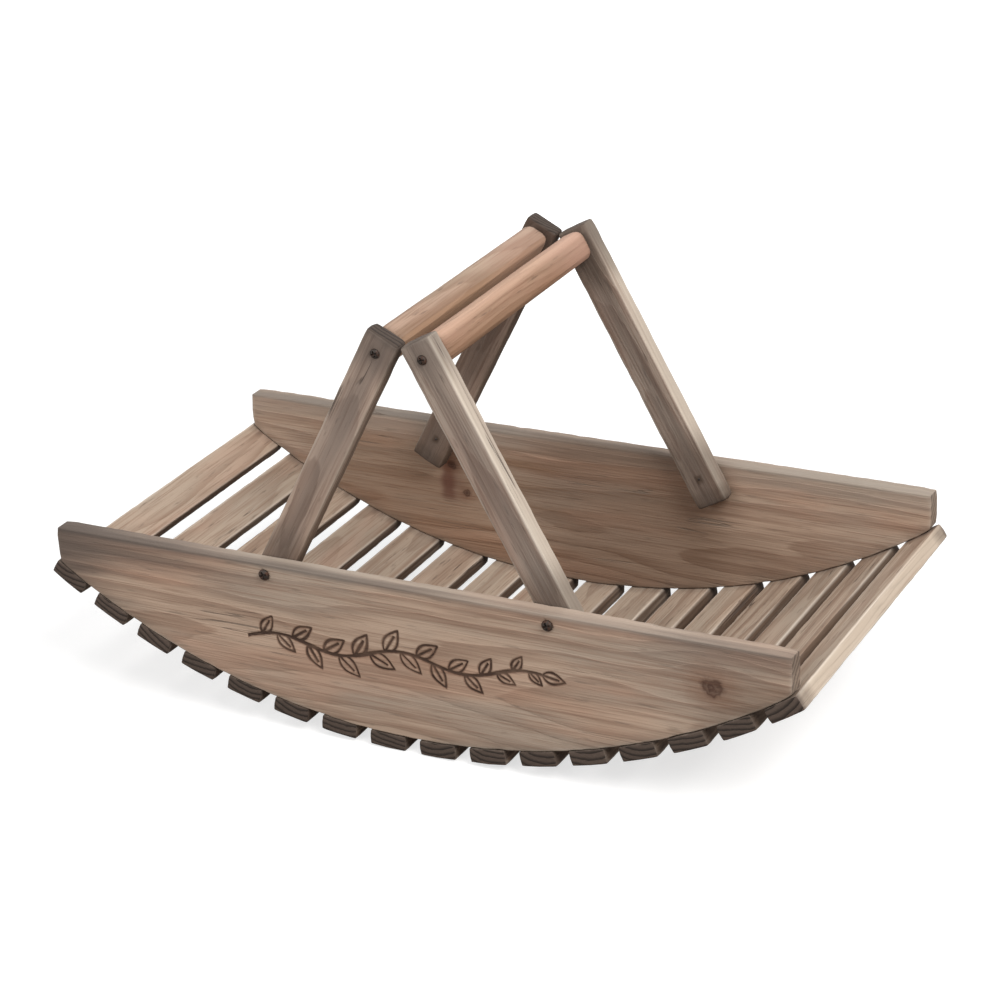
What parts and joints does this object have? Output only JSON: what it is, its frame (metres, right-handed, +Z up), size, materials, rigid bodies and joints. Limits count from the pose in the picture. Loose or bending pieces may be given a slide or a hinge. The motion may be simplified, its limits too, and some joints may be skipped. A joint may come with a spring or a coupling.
{
  "type": "slatted garden trug",
  "caption": "Boat-shaped wooden trug: slats stapled across under two curved side boards, with two folding bail handles that lean together over the middle to carry it.",
  "frame": {"origin": "on the ground under the middle of the trug, centre of the bounding box's bottom face", "axes": "+X along the trug from its left end to its right end, +Y across it from the front side board to the rear one, +Z up"},
  "size_m": [0.4934, 0.2486, 0.262],
  "materials": {
    "board_wood": "bare weathered brown-grey softwood, fine horizontal grain, a few dark knots",
    "slat_wood": "bare weathered sawn laths, very dark end grain",
    "handle_wood": "bare weathered wood, lighter along worn arrises, warmer orange-brown on the rails",
    "screw_steel": "dark rusted pan heads",
    "staple_steel": "dark rusted square wire, crowns flush with the slats"
  },
  "bodies": {
    "trug": {"front_side_board": "board_wood", "rear_side_board": "board_wood", "slat_01": "slat_wood", "slat_02": "slat_wood", "slat_03": "slat_wood", "slat_04": "slat_wood", "slat_05": "slat_wood", "slat_06": "slat_wood", "slat_07": "slat_wood", "slat_08": "slat_wood", "slat_09": "slat_wood", "slat_10": "slat_wood", "slat_11": "slat_wood", "slat_12": "slat_wood", "slat_13": "slat_wood", "slat_14": "slat_wood", "slat_15": "slat_wood", "slat_16": "slat_wood", "front_slat_staples": "staple_steel", "rear_slat_staples": "staple_steel"},
    "left_handle": {"left_front_arm": "handle_wood", "left_front_pivot_screw": "screw_steel", "left_front_rail_screw": "screw_steel", "left_rear_arm": "handle_wood", "left_rear_pivot_screw": "screw_steel", "left_rear_rail_screw": "screw_steel", "left_rail": "handle_wood"},
    "right_handle": {"right_front_arm": "handle_wood", "right_front_pivot_screw": "screw_steel", "right_front_rail_screw": "screw_steel", "right_rear_arm": "handle_wood", "right_rear_pivot_screw": "screw_steel", "right_rear_rail_screw": "screw_steel", "right_rail": "handle_wood"}
  },
  "joints": [
    {"name": "left_handle_hinge", "type": "hinge", "parent": "trug", "child": "left_handle", "pos_m": [-0.0925, 0, 0.10161], "axis": [0, -1, 0], "range_deg": [0, 119.8]},
    {"name": "right_handle_hinge", "type": "hinge", "parent": "trug", "child": "right_handle", "pos_m": [0.0925, 0, 0.10161], "axis": [0, 1, 0], "range_deg": [0, 119.8]}
  ]
}
